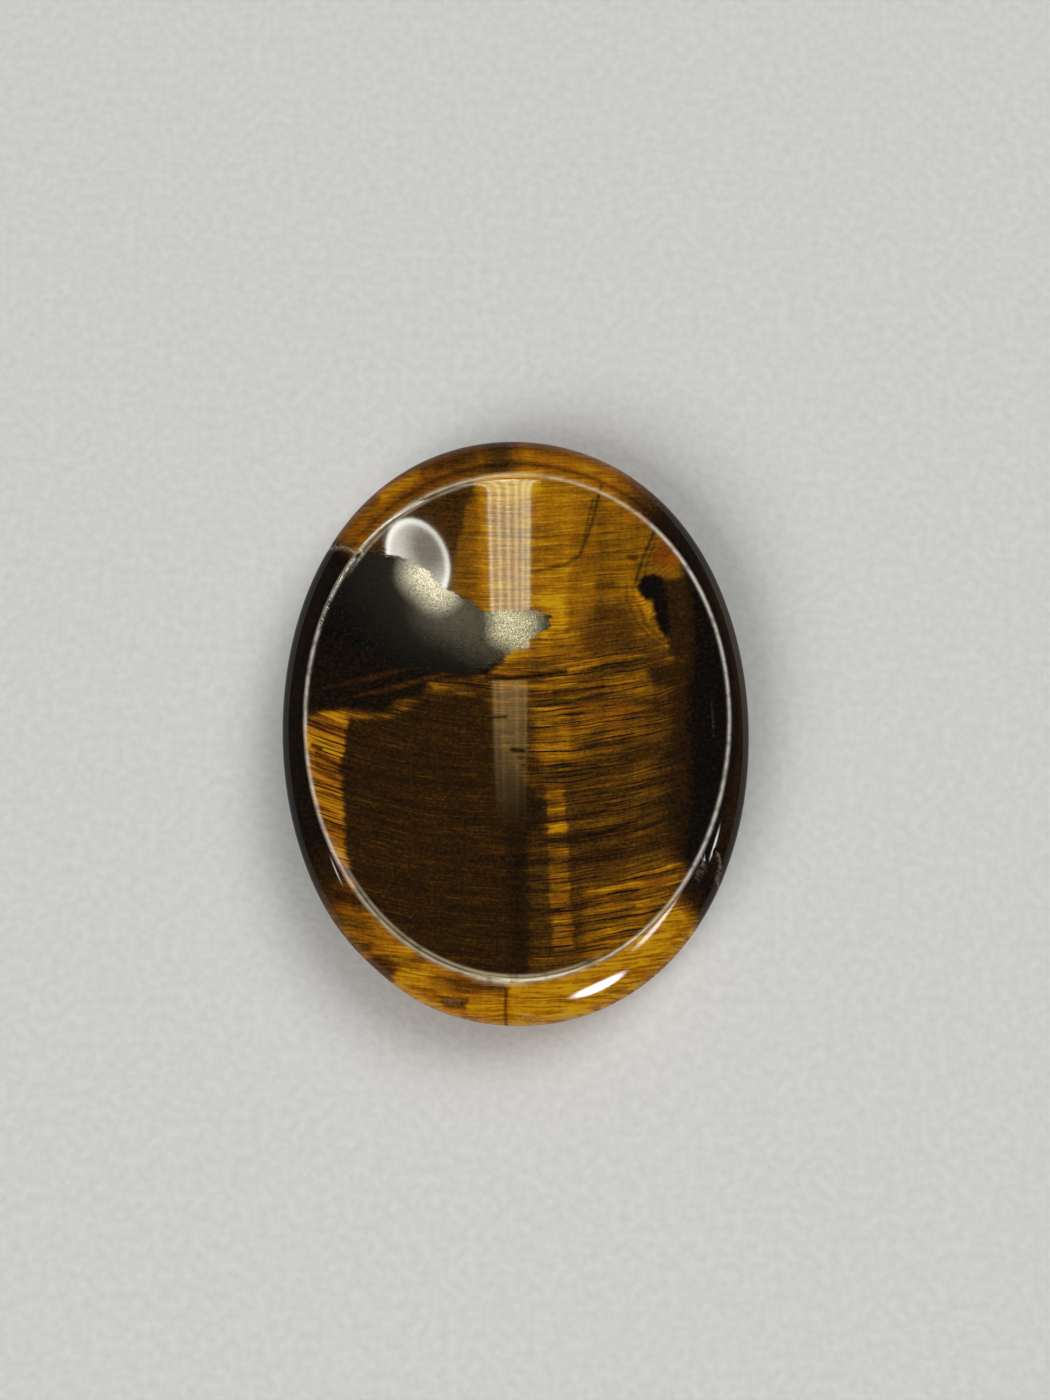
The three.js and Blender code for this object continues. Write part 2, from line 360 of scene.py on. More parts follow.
# Soft lights and windows: width, height and place in metres, brightness, and if only the polish shows them
SIDE_LIGHTS = (
    ("key", 1.0, 1.0, (0.7, 0.6, 1.3), 4.0, False),
    ("fill", 1.0, 1.0, (-0.7, -0.9, 1.1), 4.5, False),
    ("low window", 0.34, 0.34, (0.36, -0.62, 0.68), 65.0, True),
    ("right window", 0.28, 0.16, (0.44, -0.2, 0.88), 14.0, True),
    ("right lamp", 0.14, 0.1, (0.78, -0.05, 0.61), 14.0, True),
    ("left lamp", 0.12, 0.05, (-0.64, -0.1, 0.76), 9.0, True),
)

# How those fade that only the polish shows: a spot, two distances from it, and the brightness at each
MIRRORED_FADE = ((0.5, 0.5), (0.12, 0.5), (1.0, 0.0))

# Lamp tubes that hang level overhead: their places across, their size and place in metres, and brightness
TUBE_PLACES = (0.0371, 0.0256, 0.0141, 0.0035, -0.0051, -0.0121)
TUBE_SIZE = (0.0041, 0.2)
TUBE_PLACE = (0.03, 0.995)
TUBE_BRIGHTNESS = 5.5
TUBE_COLOUR = "#FAFFDC"
RING_COLOUR = "#FFFFF4"
WARM_COLOUR = "#FFDA90"

# The warm lamp's tubes across, and how it fades
WARM_TUBE_PLACES = (0.0365, 0.0256, 0.0035, -0.0095)
WARM_FADE = ((0.5, 0.0), (0.0, 1.0), (1.0, 0.0))

# Lamps whose faces change in brightness away from a spot on them: outline, size and place in metres,
# brightness, colour, the spot and two distances from it as shares of the face, and the share of brightness
# at each distance
UNEVEN_LAMPS = (
    ("lamp tray", "RECTANGLE", (0.054, 0.2), (0.0125, 0.03, 1.0), 6.0, TUBE_COLOUR,
     (0.5, 1.0), (0.0, 0.3), (2.2, 0.45)),
    ("ring lamp", "ELLIPSE", (0.083, 0.104), (0.134, 0.028, 1.0), 13.0, RING_COLOUR,
     (0.33, 0.33), (0.12, 0.55), (0.24, 1.0)),
    ("ring rim", "ELLIPSE", (0.083, 0.104), (0.134, 0.028, 0.994), 10.0, RING_COLOUR,
     (0.5, 0.5), (0.4, 0.46), (0.0, 1.0)),
    ("warm panel", "RECTANGLE", (0.054, 0.23), (0.0145, 0.287, 1.0), 2.3, WARM_COLOUR, *WARM_FADE),
    *(("warm tube", "RECTANGLE", (0.005, 0.23), (across, 0.287, 0.99), 1.6, WARM_COLOUR, *WARM_FADE)
      for across in WARM_TUBE_PLACES),
)


def camera_offset():
    """How far aside of the stone's middle and how far above it the camera aims, in millimetres."""
    aside = (PHOTO_SIZE[0] / 2 - STONE_CENTRE_PIXEL[0]) / PIXELS_PER_MM
    above = (STONE_CENTRE_PIXEL[1] - PHOTO_SIZE[1] / 2) / PIXELS_PER_MM
    return aside, above


def linear(hex_colour):
    """A linear colour from an sRGB hex value such as #A86C08."""
    parts = [int(hex_colour[place:place + 2], 16) / 255 for place in (1, 3, 5)]
    return tuple(part / 12.92 if part <= 0.04045 else ((part + 0.055) / 1.055) ** 2.4 for part in parts)


def add_node(tree, kind, *values, inputs=None, output=0, **settings):
    """Adds a node with its settings, fills or links its inputs by order or name, and returns an output.

    The name of an operation, such as MULTIPLY, stands for a Math node that does it."""
    if kind.isupper():
        settings["operation"] = kind
        kind = "ShaderNodeMath"
    node = tree.nodes.new(kind)
    for name, value in settings.items():
        setattr(node, name, value)
    for place, value in {**dict(enumerate(values)), **(inputs or {})}.items():
        for part in value if isinstance(value, list) else [value]:
            if isinstance(part, bpy.types.NodeSocket):
                tree.links.new(part, node.inputs[place])
            elif part is not None:
                node.inputs[place].default_value = part
    return node.outputs[output] if node.outputs else node


class StoneShape(bpy.types.PropertyGroup):
    """Sizes of the stone."""

    edge_round: FloatProperty(
        name="Edge round", description="How far in from the outline the rounded edge reaches",
        default=5.0 * MM, unit="LENGTH")
    edge_height: FloatProperty(
        name="Edge height", description="Height of the widest line of the edge above the flat back",
        default=4.8 * MM, unit="LENGTH")
    blank_height: FloatProperty(
        name="Blank height", description="Height of the stone before the hollow is ground",
        default=7.06 * MM, unit="LENGTH")
    squareness: FloatProperty(
        name="Squareness", description="Bulge of the outline on its diagonals, as a share of its radius",
        default=0.018, subtype="FACTOR")
    skew: FloatProperty(
        name="Skew", description="How much longer one diagonal is than the other, as a share of the radius",
        default=0.006, subtype="FACTOR")
    flat_depth: FloatProperty(
        name="Flat depth", description="Depth of the small flat on the edge, as a share of the radius",
        default=0.006, subtype="FACTOR")
    flat_angle: FloatProperty(
        name="Flat angle", description="Where the small flat is, anticlockwise from +X",
        default=math.radians(234), subtype="ANGLE")
    flat_spread: FloatProperty(
        name="Flat spread", description="Half the angle that the small flat takes up",
        default=math.radians(9), subtype="ANGLE")
    hollow_size: FloatVectorProperty(
        name="Hollow size", description="Width and length of the hollow at an uncut flat top, and its depth",
        default=(36.4 * MM, 39.6 * MM, 2.26 * MM), unit="LENGTH")
    hollow_centre: FloatVectorProperty(
        name="Hollow centre", description="Middle of the hollow",
        default=(0.34 * MM, -0.09 * MM, 0.0), unit="LENGTH")
    hollow_taper: FloatProperty(
        name="Hollow taper", description="Share by which each metre towards +Y makes the hollow wider",
        default=0.005 / MM)
    lip_size: FloatVectorProperty(
        name="Lip size", description="Width and length of the lip where the hollow meets the rounded edge",
        default=(31.6 * MM, 38.66 * MM, 0.0), unit="LENGTH")
    lip_centre: FloatVectorProperty(
        name="Lip centre", description="Middle of the lip",
        default=(0.14 * MM, -0.15 * MM, 0.0), unit="LENGTH")
    lip_taper: FloatProperty(
        name="Lip taper", description="Share by which each metre towards +Y makes the lip wider",
        default=0.0018 / MM)
    lip_squareness: FloatProperty(
        name="Lip squareness", description="Bulge of the lip on its diagonals, as a share of its radius",
        default=0.009, subtype="FACTOR")
    lip_softness: FloatProperty(
        name="Lip softness",
        description="Height over which the hollow and the edge run together at the sides",
        default=0.1 * MM, unit="LENGTH")
    head_softness: FloatProperty(
        name="Head softness",
        description="Height over which the hollow and the edge run together at the +Y end",
        default=0.6 * MM, unit="LENGTH")
    foot_softness: FloatProperty(
        name="Foot softness",
        description="Height over which the hollow and the edge run together at the -Y end",
        default=0.4 * MM, unit="LENGTH")
    columns: IntProperty(name="Columns", description="Points across the top", default=268)
    rows: IntProperty(name="Rows", description="Points down the edge", default=22)


class StoneColours(bpy.types.PropertyGroup):
    """Colours of the stone."""

    black: FloatVectorProperty(
        name="Black", description="The darkest bands", subtype="COLOR", default=linear("#0A0806"))
    dark_brown: FloatVectorProperty(
        name="Dark brown", description="The wide brown field", subtype="COLOR", default=linear("#321E05"))
    brown: FloatVectorProperty(
        name="Brown", description="Fibres between gold and brown", subtype="COLOR",
        default=linear("#5A3C0B"))
    old_gold: FloatVectorProperty(
        name="Old gold", description="Muted gold fibres", subtype="COLOR", default=linear("#8A5A09"))
    gold: FloatVectorProperty(
        name="Gold", description="Bright gold fibres", subtype="COLOR", default=linear("#B0730A"))
    yellow: FloatVectorProperty(
        name="Yellow", description="The brightest fibres", subtype="COLOR", default=linear("#CF9E10"))
    red: FloatVectorProperty(
        name="Red", description="Rusty fibres", subtype="COLOR", default=linear("#A04A08"))
    iron: FloatVectorProperty(
        name="Iron", description="The grey metal sheen of the iron oxide", subtype="COLOR",
        default=linear("#DCD2BE"))
    scar: FloatVectorProperty(
        name="Scar", description="Broken edges of pits and cracks", subtype="COLOR",
        default=linear("#B9A48C"))
    worn: FloatVectorProperty(
        name="Worn", description="The painted highlight along the lip, where the rim is dark", subtype="COLOR",
        default=linear("#E4DED0"))
    worn_gold: FloatVectorProperty(
        name="Worn gold", description="The painted highlight along the lip, where the rim is gold", subtype="COLOR",
        default=linear("#DCCBA8"))


class StudioLook(bpy.types.PropertyGroup):
    """Floor, light and camera."""

    paper: FloatVectorProperty(
        name="Paper", description="Colour of the floor", subtype="COLOR", default=linear("#E6E6E4"))
    floor_size: FloatProperty(name="Floor size", description="Side of the floor", default=6.0, unit="LENGTH")
    zenith: FloatProperty(name="Zenith", description="Brightness of the room straight above", default=0.04)
    horizon: FloatProperty(name="Horizon", description="Brightness of the room at the horizon", default=0.07)


STONE_INPUTS = {
    "NodeSocketVector": ("Stone Size", "Hollow Size", "Hollow Centre", "Lip Size", "Lip Centre"),
    "NodeSocketFloat": (
        "Edge Round", "Edge Height", "Blank Height", "Squareness", "Skew", "Flat Depth", "Flat Angle",
        "Flat Spread", "Hollow Taper", "Lip Taper", "Lip Squareness", "Lip Softness", "Head Softness",
        "Foot Softness"),
    "NodeSocketInt": ("Columns", "Rows"),
    "NodeSocketMaterial": ("Material",),
}
VECTOR = "ShaderNodeVectorMath"
NOISE = "ShaderNodeTexNoise"
RANGE = "ShaderNodeMapRange"
MIX = "ShaderNodeMix"
OF_COLOURS = {"output": 2, "data_type": "RGBA"}


def stone_tree():
    """The node tree that shapes the stone.

    A fine cube with no floor is drawn over the hollow and the round edge, and the flat back closes it. Each
    point keeps its distance from the lip."""
    tree = bpy.data.node_groups.new("Worry stone", "GeometryNodeTree")
    for kind, names in STONE_INPUTS.items():
        for name in names:
            tree.interface.new_socket(name, in_out="INPUT", socket_type=kind)
    tree.interface.new_socket("Geometry", in_out="OUTPUT", socket_type="NodeSocketGeometry")
    node = partial(add_node, tree)
    given = {socket.name: socket for socket in tree.nodes.new("NodeGroupInput").outputs}
    centre = given["Lip Centre"]
    edge_round = given["Edge Round"]
    edge_height = given["Edge Height"]
    depth = node("ShaderNodeSeparateXYZ", given["Hollow Size"], output=2)
    thickness = given["Blank Height"]

    cube = node("GeometryNodeMeshCube", (2, 2, 2), given["Columns"], given["Columns"], given["Rows"])
    u, v, w = node("ShaderNodeSeparateXYZ", node("GeometryNodeInputPosition"), output=slice(None))
    on_top = node("GREATER_THAN", w, NEAR_FACE)
    on_floor = node("LESS_THAN", w, -NEAR_FACE)
    cover = node("GeometryNodeDeleteGeometry", cube, on_floor, domain="FACE")

    # The cube's square rings become ovals: how far out a point is, and at what angle
    reach_u = node("ABSOLUTE", u)
    reach_v = node("ABSOLUTE", v)
    reach = node("MAXIMUM", reach_u, reach_v)
    eighth_u = node("MULTIPLY", node("DIVIDE", u, reach), math.pi / 4)
    eighth_v = node("MULTIPLY", node("DIVIDE", v, reach), math.pi / 4)
    tangent_u = node("TANGENT", eighth_u)
    tangent_v = node("TANGENT", eighth_v)
    turn = node("ARCTAN2", tangent_v, tangent_u)
    aside = node("COSINE", turn)
    towards_head = node("SINE", turn)
    direction = node("ShaderNodeCombineXYZ", aside, towards_head, 0.0)

    # The hand-cut outline: squarer than an ellipse, skewed, with one small flat
    wave = node("COSINE", node("MULTIPLY", turn, 4.0))
    bulge = node("MULTIPLY", node("SUBTRACT", 1.0, wave), 0.5)
    lean = node("SINE", node("MULTIPLY", turn, 2.0))
    squared = node("MULTIPLY_ADD", bulge, given["Squareness"], 1.0)
    oval = node("SUBTRACT", squared, node("MULTIPLY", lean, given["Skew"]))
    from_flat = node("SUBTRACT", turn, given["Flat Angle"])
    off_flat = node("SUBTRACT", node("COSINE", from_flat), 1.0)
    spread_squared = node("POWER", given["Flat Spread"], 2.0)
    steepness = node("DIVIDE", 2.0, spread_squared)
    flat = node("EXPONENT", node("MULTIPLY", off_flat, steepness))
    flat_cut = node("MULTIPLY", flat, given["Flat Depth"])
    ground = node("SUBTRACT", oval, flat_cut)
    outline = node(
        VECTOR, node(VECTOR, direction, given["Stone Size"], operation="MULTIPLY"),
        inputs={"Scale": node("MULTIPLY", ground, 0.5)}, operation="SCALE")

    # The lip: rounder than the outline, and a little wider towards +Y
    lip_squared = node("MULTIPLY_ADD", bulge, given["Lip Squareness"], 1.0)
    inner = node(
        VECTOR, node(VECTOR, direction, given["Lip Size"], operation="MULTIPLY"),
        inputs={"Scale": node("MULTIPLY", lip_squared, 0.5)}, operation="SCALE")
    inner_y = node("ShaderNodeSeparateXYZ", inner, output=1)
    lip_wider = node("MULTIPLY_ADD", inner_y, given["Lip Taper"], 1.0)
    inner = node(VECTOR, inner, node("ShaderNodeCombineXYZ", lip_wider, 1.0, 1.0), operation="MULTIPLY")
    lip = node(VECTOR, inner, centre, operation="ADD")
    rim = node(VECTOR, outline, lip, operation="SUBTRACT")
    rim_width = node(VECTOR, rim, output=1, operation="LENGTH")

    # Top of the cube: the hollow, with its rings closer together towards the lip
    closer = node("MULTIPLY_ADD", reach, -TOP_CROWDING, 1 + TOP_CROWDING)
    out = node("MULTIPLY", reach, closer)
    top_reach = node(VECTOR, inner, inputs={"Scale": out}, operation="SCALE")
    top_place = node(VECTOR, centre, top_reach, operation="ADD")
    from_lip = node("SUBTRACT", out, 1.0)
    lip_reach = node(VECTOR, inner, output=1, operation="LENGTH")
    top_distance = node("MULTIPLY", from_lip, lip_reach)
    top_inset = node("SUBTRACT", rim_width, top_distance)
    top_lean = node("SUBTRACT", 1.0, node("DIVIDE", top_inset, edge_round))
    top_lean = node("MAXIMUM", top_lean, 0.0)
    lean_squared = node("POWER", top_lean, 2.0)
    top_rise = node("SQRT", node("SUBTRACT", 1.0, lean_squared))

    # Sides of the cube: round the edge from the lip down to the flat back
    down = node("MULTIPLY", node("SUBTRACT", 1.0, w), 0.5)
    down = node("POWER", down, SIDE_CROWDING)
    lip_share = node("MINIMUM", node("DIVIDE", rim_width, edge_round), 1.0)
    lip_angle = node("ARCCOSINE", node("SUBTRACT", 1.0, lip_share))
    whole_angle = node("ADD", lip_angle, math.pi / 2)
    turned = node("MULTIPLY", down, whole_angle)
    side_distance = node("MULTIPLY", turned, edge_round)
    angle = node("SUBTRACT", lip_angle, turned)
    side_rise = node("SINE", angle)
    side_share = node("SUBTRACT", 1.0, node("COSINE", angle))
    side_inset = node("MULTIPLY", side_share, edge_round)
    under = node("LESS_THAN", side_rise, 0.0)
    square_out = node(
        VECTOR, node(VECTOR, direction, given["Stone Size"], operation="DIVIDE"), operation="NORMALIZE")
    rim_out = node(VECTOR, rim, operation="NORMALIZE")
    outward = node("GeometryNodeSwitch", under, rim_out, square_out, input_type="VECTOR")
    side_reach = node(VECTOR, outward, inputs={"Scale": side_inset}, operation="SCALE")
    side_place = node(VECTOR, outline, side_reach, operation="SUBTRACT")

    # The lower of the blank and the bowl, run together at the lip
    place = node("GeometryNodeSwitch", on_top, side_place, top_place, input_type="VECTOR")
    rise = node("GeometryNodeSwitch", on_top, side_rise, top_rise, input_type="FLOAT")
    distance = node("GeometryNodeSwitch", on_top, side_distance, top_distance, input_type="FLOAT")
    above_edge = node("SUBTRACT", thickness, edge_height)
    below_edge = node("LESS_THAN", rise, 0.0)
    edge_reach = node("GeometryNodeSwitch", below_edge, above_edge, edge_height, input_type="FLOAT")
    blank_height = node("MULTIPLY_ADD", rise, edge_reach, edge_height)
    from_centre = node(VECTOR, place, given["Hollow Centre"], operation="SUBTRACT")
    from_centre_y = node("ShaderNodeSeparateXYZ", from_centre, output=1)
    wider = node("MULTIPLY_ADD", from_centre_y, given["Hollow Taper"], 1.0)
    bowl_size = node(
        VECTOR, given["Hollow Size"], node("ShaderNodeCombineXYZ", wider, 1.0, 1.0), operation="MULTIPLY")
    share = node(VECTOR, from_centre, bowl_size, operation="DIVIDE")
    share = node(VECTOR, share, inputs={"Scale": 2.0}, operation="SCALE")
    share_squared = node(VECTOR, share, share, output=1, operation="DOT_PRODUCT")
    bowl = node("SUBTRACT", share_squared, 1.0)
    bowl_height = node("MULTIPLY_ADD", bowl, depth, thickness)
    on_head = node("GREATER_THAN", towards_head, 0.0)
    end_softness = node(
        "GeometryNodeSwitch", on_head, given["Foot Softness"], given["Head Softness"], input_type="FLOAT")
    at_end = node("POWER", towards_head, END_NARROWNESS)
    softness = node(MIX, at_end, inputs={2: given["Lip Softness"], 3: end_softness})
    height = node("SMOOTH_MIN", blank_height, bowl_height, softness)
    place = node(VECTOR, place, node("ShaderNodeCombineXYZ", 0.0, 0.0, height), operation="ADD")
    measured = node("GeometryNodeStoreNamedAttribute", cover, None, "lip", distance)
    shaped = node("GeometryNodeSetPosition", measured, None, place)

    # The flat back, spanned by the lower border of the edge
    border = node("LESS_THAN", node("GeometryNodeInputMeshEdgeNeighbors"), BORDER_FACES)
    back = node("GeometryNodeFillCurve", node("GeometryNodeMeshToCurve", shaped, border), mode="NGONS")
    parts = node("GeometryNodeJoinGeometry", [shaped, node("GeometryNodeFlipFaces", back)])
    whole = node("GeometryNodeMergeByDistance", parts, None, WELD_DISTANCE)
    smooth = node("GeometryNodeSetShadeSmooth", whole)
    realized = node("GeometryNodeRealizeInstances", smooth)
    finished = node("GeometryNodeSetMaterial", realized, None, given["Material"])
    node("NodeGroupOutput", finished)
    return tree


def shape_stone(shape, material):
    """The stone's mesh, from its node tree."""
    tree = stone_tree()
    maker = bpy.data.objects.new("stone maker", bpy.data.meshes.new("stone maker"))
    bpy.context.scene.collection.objects.link(maker)
    modifier = maker.modifiers.new("Worry stone", "NODES")
    modifier.node_group = tree
    settings = {"Stone Size": CAD_SIZE, "Material": material}
    for name in shape.__annotations__:
        settings[name.replace("_", " ").title()] = getattr(shape, name)
    for socket in tree.interface.items_tree:
        if socket.in_out == "INPUT":
            modifier[socket.identifier] = settings[socket.name]
    evaluated = maker.evaluated_get(bpy.context.evaluated_depsgraph_get())
    mesh = bpy.data.meshes.new_from_object(evaluated)
    maker.modifiers.remove(modifier)
    bpy.data.meshes.remove(maker.data)  # the maker goes with it
    mesh.name = "stone"
    mesh.materials.pop(index=0)  # the empty slot that the cube came with
    return mesh


def soft_step(value, start, end):
    """0 before start, 1 after end, and a smooth run between them."""
    share = np.clip((value - start) / (end - start), 0.0, 1.0)
    return share * share * (3.0 - 2.0 * share)


def line_distance(points, path):
    """Distance of flat points from a path of straight runs."""
    nearest = np.full(len(points), np.inf)
    for start, end in zip(path, path[1:]):
        start = np.array(start)
        run = np.array(end) - start
        share = np.clip((points - start) @ run / (run @ run), 0.0, 1.0)
        gap = points - start - share[:, None] * run
        nearest = np.minimum(nearest, np.hypot(gap[:, 0], gap[:, 1]))
    return nearest


def inside_distance(points, outline):
    """Distance of flat points from a closed outline, positive inside it."""
    inside = np.zeros(len(points), bool)
    ring = outline + outline[:1]
    for (x0, y0), (x1, y1) in zip(ring, ring[1:]):
        crosses = (points[:, 1] < y0) != (points[:, 1] < y1)
        if y0 != y1:
            meets = x0 + (points[:, 1] - y0) / (y1 - y0) * (x1 - x0)
            inside ^= crosses & (points[:, 0] < meets)
    return np.where(inside, 1.0, -1.0) * line_distance(points, ring)


def read_rows(items, name, width):
    """A property of a mesh's items, one row each."""
    values = np.empty(len(items) * width, np.float32)
    items.foreach_get(name, values)
    return values.reshape(-1, width).astype(float)


def as_seen(places):
    """Where points of the stone show in the photograph, in millimetres from the stone's middle.

    The camera is close, so what is nearer to it looks larger."""
    elevation = math.radians(CAMERA_ELEVATION)
    aside, above = camera_offset()
    distance = CAMERA_DISTANCE / MM
    x, y, z = (places - np.array(CAD_LOW + CAD_HIGH) / 2 / MM).T
    larger = distance / (distance - z * math.sin(elevation) + y * math.cos(elevation))
    lift = z * math.cos(elevation)
    across = PHOTO_SIZE[0] / 2 + PIXELS_PER_MM * (x - aside) * larger - MEASURED_FROM_PIXEL[0]
    rise = (y * math.sin(elevation) + lift - above) * larger
    up = MEASURED_FROM_PIXEL[1] - PHOTO_SIZE[1] / 2 + PIXELS_PER_MM * rise
    measured_y = (up / MEASURED_PIXELS_PER_MM - lift) / math.sin(elevation)
    return np.stack([across / MEASURED_PIXELS_PER_MM, measured_y], axis=1)


def carve_scars(mesh, places):
    """Sinks the pits, cracks and chips into the upper side, and returns how pale each point is."""
    normals = read_rows(mesh.vertex_normals, "vector", 3)
    upper = soft_step(normals[:, 2], *SCAR_SLOPES)
    flat = as_seen(places)
    sunk = np.zeros(len(places))
    pale = np.zeros(len(places))
    for _, half_width, depth, paleness, path in SCARS:
        away = line_distance(flat, path) / half_width
        mark = np.exp(-away * away) * upper
        sunk = np.maximum(sunk, depth * mark)
        pale = np.maximum(pale, paleness * mark)
    places -= normals * sunk[:, None]
    mesh.vertices.foreach_set("co", (places * MM).ravel().astype(np.float32))
    mesh.update()
    return pale


def fibre_height(x, y):
    """Which fibre a point lies on: the height at which that fibre crosses the stone's long middle line."""
    bow = FIBRE_BOW_PER_MM * (1.0 - BOW_LOSS * soft_step(y, *BOW_LOSS_MM))
    fibre = y - bow * x * x
    from_knot = np.hypot(x - KNOT_CENTRE_MM[0], y - KNOT_CENTRE_MM[1])
    knot = soft_step(from_knot, *KNOT_HOLE_MM) * (1.0 - soft_step(from_knot, *KNOT_REACH_MM))
    return fibre + (KNOT_CENTRE_MM[1] - from_knot - fibre) * knot


def feather(flat, fibre):
    """Points moved along the fibres by a chance amount for each thread, so that patches get frayed ends."""
    shifts = np.random.default_rng(FEATHER_SEED).uniform(-1.0, 1.0, FEATHER_THREADS)
    thread = np.mod(fibre / FEATHER_THREAD_MM, FEATHER_THREADS - 1)
    shift = np.interp(thread, np.arange(FEATHER_THREADS), shifts)
    return flat + np.stack([FEATHER_REACH_MM * shift, np.zeros(len(flat))], axis=1)


def paint_patches(patches, flat, tone, red):
    """Lays patches of colour over each other."""
    for _, patch_tone, patch_red, softness, outline in patches:
        cover = soft_step(inside_distance(flat, outline), -softness / 2, softness / 2)
        tone += (patch_tone - tone) * cover
        red += (patch_red - red) * cover


def paint_rim(angle, lip):
    """Tone and share of red on the rounded edge, from the angle round it and the distance from the lip."""
    stops, stop_tones, stop_reds = np.array(RIM_STOPS, float).T
    tone = np.interp(angle, stops, stop_tones)
    red = np.interp(angle, stops, stop_reds)
    upper = np.clip(np.sin(np.radians(angle)), 0.0, 1.0) ** 2
    shade = np.exp(-((lip - SHADE_LINE_MM[0]) / SHADE_LINE_MM[1]) ** 2) * upper
    blush = soft_step(np.cos(np.radians(angle)), *BLUSH_SPREAD) * soft_step(lip, *BLUSH_DEPTH_MM)
    outer = OUTER_SHADE * soft_step(lip, *OUTER_SHADE_MM) * upper
    return tone * (1.0 - SHADE_LINE * shade) * (1.0 - outer) + BLUSH_TONE * blush, red


def paint_lip_shine(angle, lip):
    """How strong the painted highlight is along the lip."""
    wear = np.zeros(len(lip))
    for outside, width, line_stops in LIP_SHINE_LINES:
        stops, stop_wear = np.array(line_stops, float).T
        line = np.interp(angle, stops, stop_wear) * np.exp(-(2.0 * (lip - outside) / width) ** 2)
        wear = np.maximum(wear, line)
    return wear


def paint_stone(mesh):
    """Carves the marks and stores what the material needs at each point."""
    places = read_rows(mesh.vertices, "co", 3) / MM
    lip = read_rows(mesh.attributes["lip"].data, "value", 1)[:, 0] / MM
    pale = carve_scars(mesh, places)
    half = np.array(CAD_SIZE) / MM / 2
    angle = np.degrees(np.arctan2(places[:, 1] / half[1], places[:, 0] / half[0])) % 360
    on_rim = soft_step(lip, *RIM_START_MM)
    flat = as_seen(places)
    fibre = fibre_height(*flat.T)
    frayed = feather(flat, fibre)

    tone = np.full(len(places), GROUND_TONE)
    red = np.full(len(places), GROUND_RED)
    paint_patches(HOLLOW_PATCHES, frayed, tone, red)
    rim_tone, rim_red = paint_rim(angle, lip)
    paint_patches(EDGE_PATCHES, frayed, rim_tone, rim_red)
    tone += (rim_tone - tone) * on_rim
    red += (rim_red - red) * on_rim

    dark = np.zeros(len(places))
    for half_width, strength, path in DARK_LINES:
        away = line_distance(flat, path) / half_width
        dark = np.maximum(dark, strength * np.exp(-away * away))

    iron = inside_distance(frayed, IRON_OUTLINE) - IRON_RIM_LOSS_MM * on_rim
    # A painted sheen: the iron's colour is light along these lines and near black away from them
    sheen = np.full(len(places), IRON_LEAST_SHEEN)
    for strength, fade, path in IRON_SHEEN_LINES:
        glow = strength * (1.0 - soft_step(line_distance(flat, path), 0.0, fade))
        sheen = np.maximum(sheen, glow)

    # A painted highlight along the lip
    wear = paint_lip_shine(angle, lip)
    polish = 1.0 - EDGE_MATTNESS * soft_step(lip, *EDGE_MATT_MM)
    gilt = soft_step(rim_tone, *GILT_TONES)
    for name, values in zip(MARKS, (tone, red, iron, fibre, dark, pale, wear, on_rim, sheen, polish, gilt)):
        mesh.attributes.new(name, "FLOAT", "POINT").data.foreach_set("value", values.astype(np.float32))


